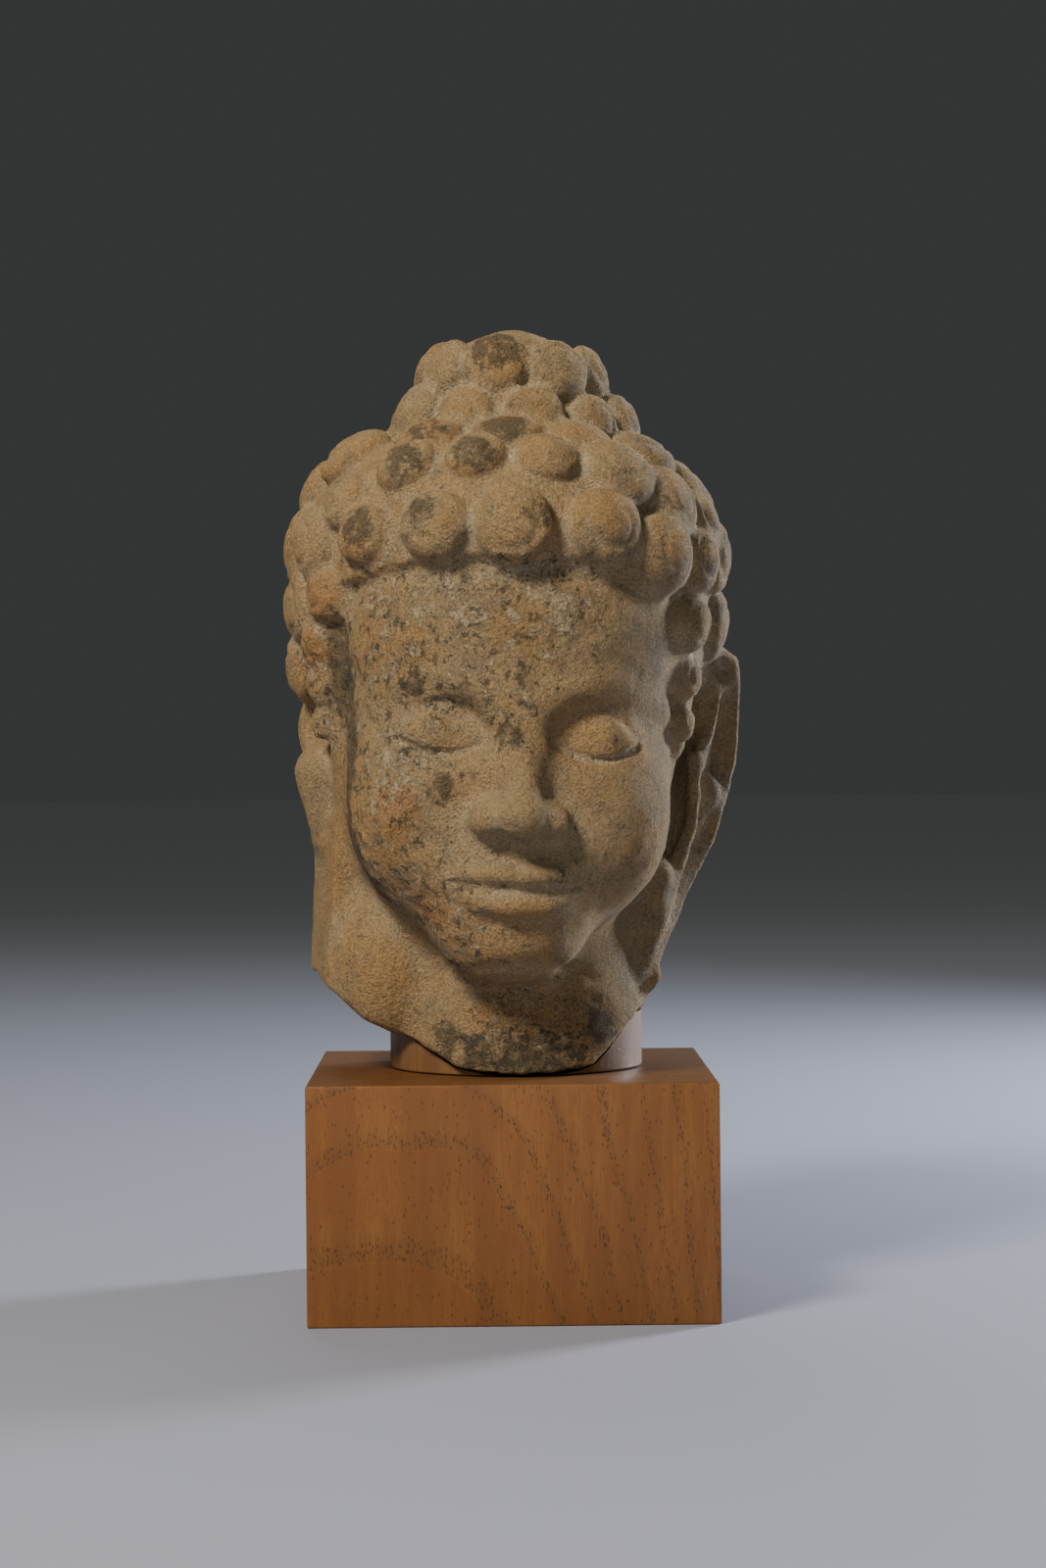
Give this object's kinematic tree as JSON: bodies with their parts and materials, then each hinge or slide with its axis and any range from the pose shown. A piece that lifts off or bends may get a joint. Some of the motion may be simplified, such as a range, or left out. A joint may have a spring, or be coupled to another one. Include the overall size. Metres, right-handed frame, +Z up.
{
  "type": "buddha head on plinth",
  "caption": "Carved sandstone head with snail curls and a topknot, broken at the neck, on a turned wooden collar and a square wooden plinth.",
  "frame": {"origin": "middle of the plinth's underside", "axes": "+Z up through the topknot, -Y the way the plinth's front faces, +X to the right as one looks at the face; the face itself is turned 5 degrees to +X"},
  "size_m": [0.1819, 0.2131, 0.3765],
  "materials": {
    "sandstone": "worn and pitted",
    "collar_wood": "satin",
    "plinth_wood": "satin"
  },
  "bodies": {
    "root": {"head": "sandstone", "collar": "collar_wood", "plinth": "plinth_wood"}
  },
  "joints": []
}
